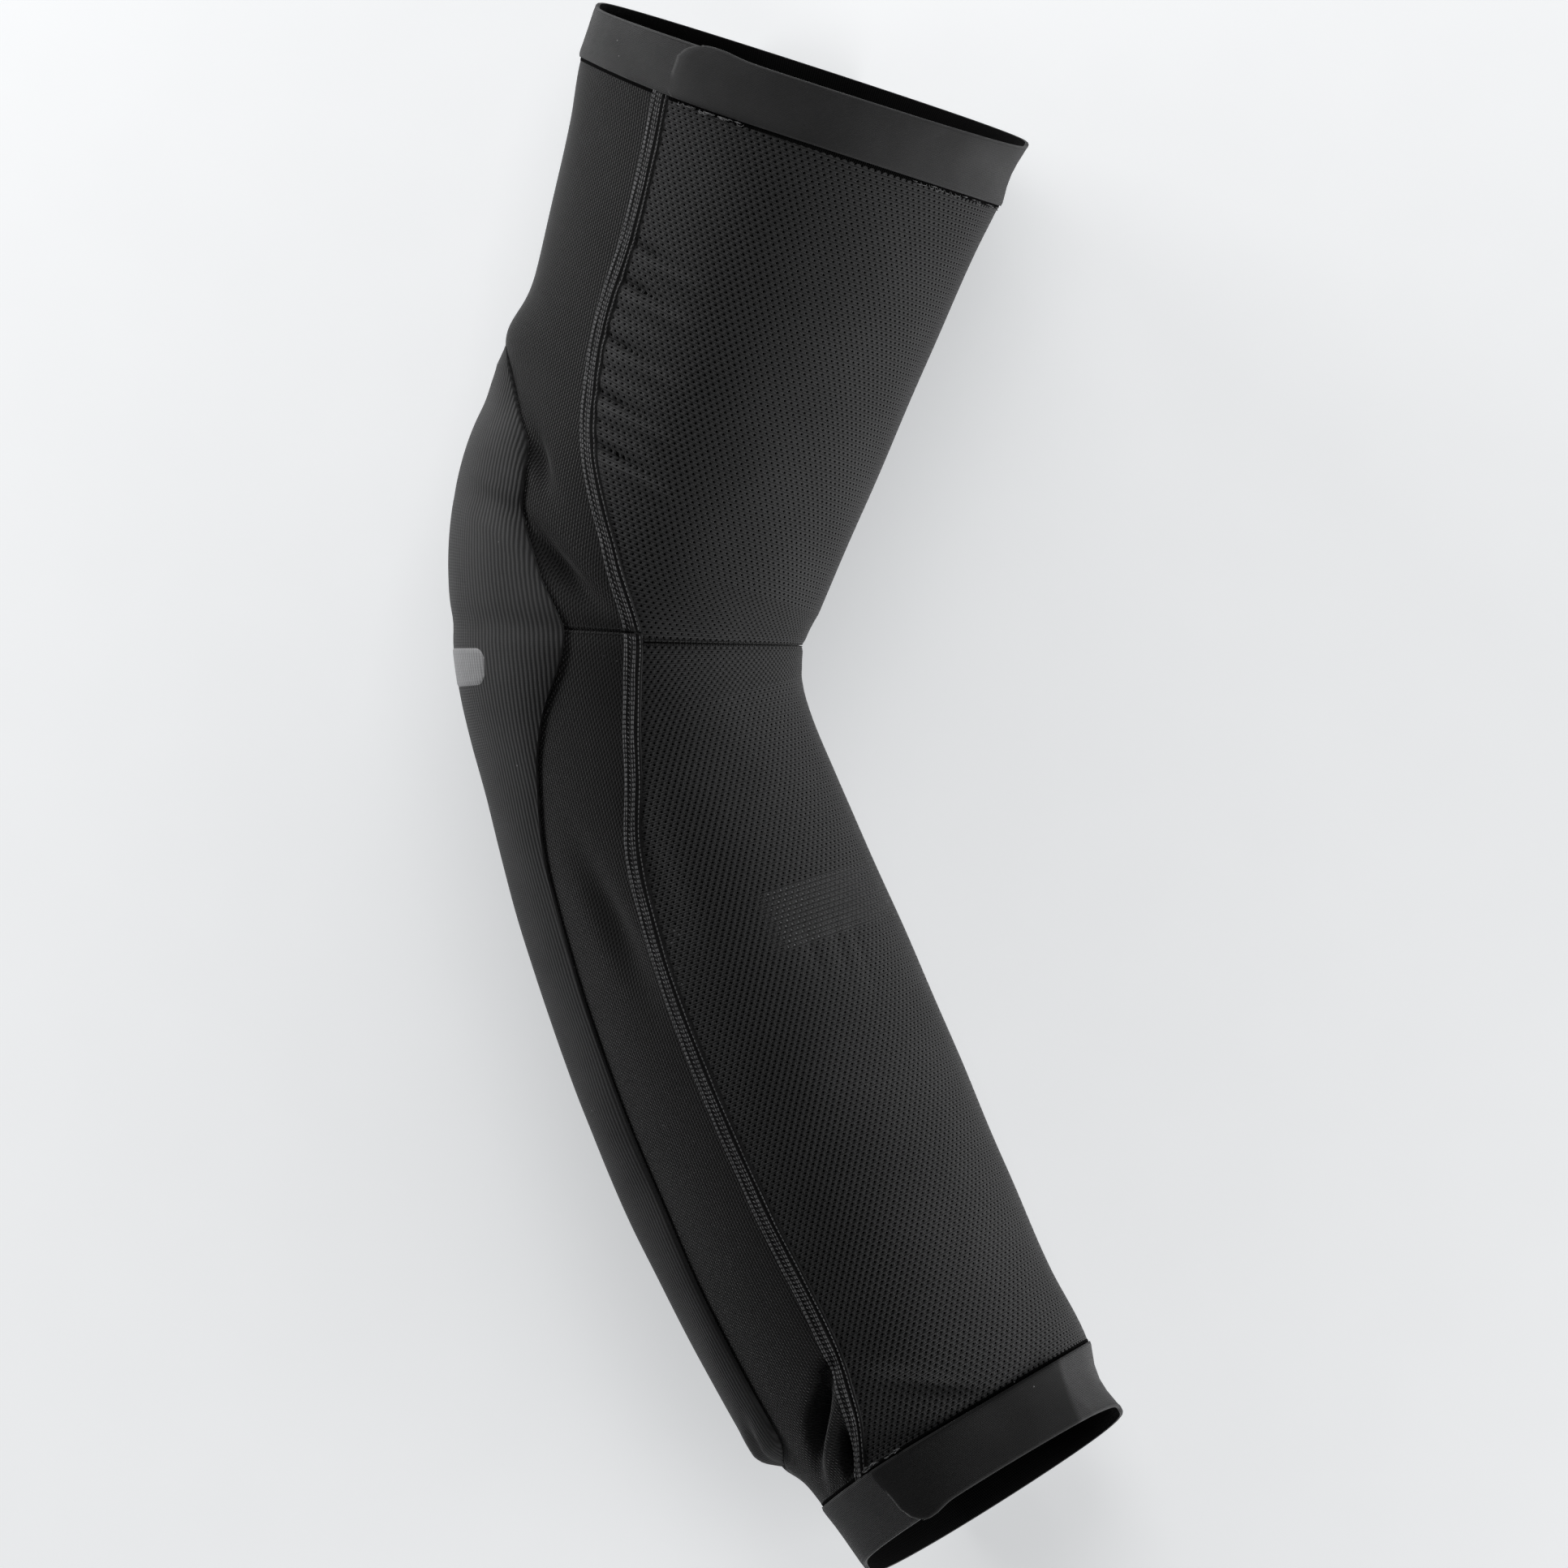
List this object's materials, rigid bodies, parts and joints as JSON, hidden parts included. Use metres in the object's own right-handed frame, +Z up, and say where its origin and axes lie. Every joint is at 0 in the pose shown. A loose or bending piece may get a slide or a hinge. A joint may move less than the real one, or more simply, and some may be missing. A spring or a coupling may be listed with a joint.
{
  "type": "elbow guard sleeve",
  "caption": "Pull-on knit arm sleeve pre-bent at the elbow, with a foam pad down the back of the elbow and forearm, mesh panels and folded cuffs.",
  "frame": {"origin": "middle of the footprint, on the table that the sleeve lies on", "axes": "+Y along the sleeve towards its wide shoulder end, +X towards the crook of the elbow, +Z up from the table, towards the side that the picture shows"},
  "size_m": [0.1658, 0.3862, 0.0875],
  "materials": {
    "cuff_knit": "fine ribbed knit, matt",
    "fine_mesh": "fine pique mesh, matt",
    "open_mesh": "perforated mesh, matt",
    "ribbed_stretch": "ribbed stretch fabric, matt",
    "thread": "polyester thread",
    "elastic": "woven elastic",
    "lining": "brushed lining",
    "foam": "soft closed-cell foam",
    "silicone": "soft silicone dots on a knit tape",
    "reflective_print": "satin heat print"
  },
  "bodies": {
    "upper_sleeve": {"upper_cuff": "cuff_knit", "upper_cuff_elastic": "elastic", "upper_cuff_seam": "thread", "upper_back_panel": "fine_mesh", "upper_front_panel": "open_mesh", "near_upper_flatlock": "thread", "far_upper_flatlock": "thread", "upper_foam": "foam"},
    "forearm_sleeve": {"back_crease_seam": "thread", "front_crease_seam": "thread", "lower_back_panel": "fine_mesh", "lower_front_panel": "open_mesh", "near_lower_flatlock": "thread", "far_lower_flatlock": "thread", "lower_cuff_seam": "thread", "lower_cuff_elastic": "elastic", "lower_cuff": "cuff_knit", "gripper_band": "silicone", "pad_liner": "lining", "elbow_foam": "foam", "forearm_foam": "foam", "pad_cover": "ribbed_stretch", "reflective_bar": "reflective_print"}
  },
  "joints": [
    {"name": "elbow_bend", "type": "hinge", "parent": "upper_sleeve", "child": "forearm_sleeve", "pos_m": [-0.03542, 0.03703, 0.0375], "axis": [0, 0, 1], "range_deg": [-36, 95], "stiffness_Nm_per_rad": 0.05, "deforming": ["upper_back_panel", "upper_front_panel", "lower_back_panel", "lower_front_panel", "near_upper_flatlock", "far_upper_flatlock", "near_lower_flatlock", "far_lower_flatlock", "back_crease_seam", "front_crease_seam", "pad_cover", "pad_liner", "upper_foam", "elbow_foam", "forearm_foam", "reflective_bar"]}
  ]
}
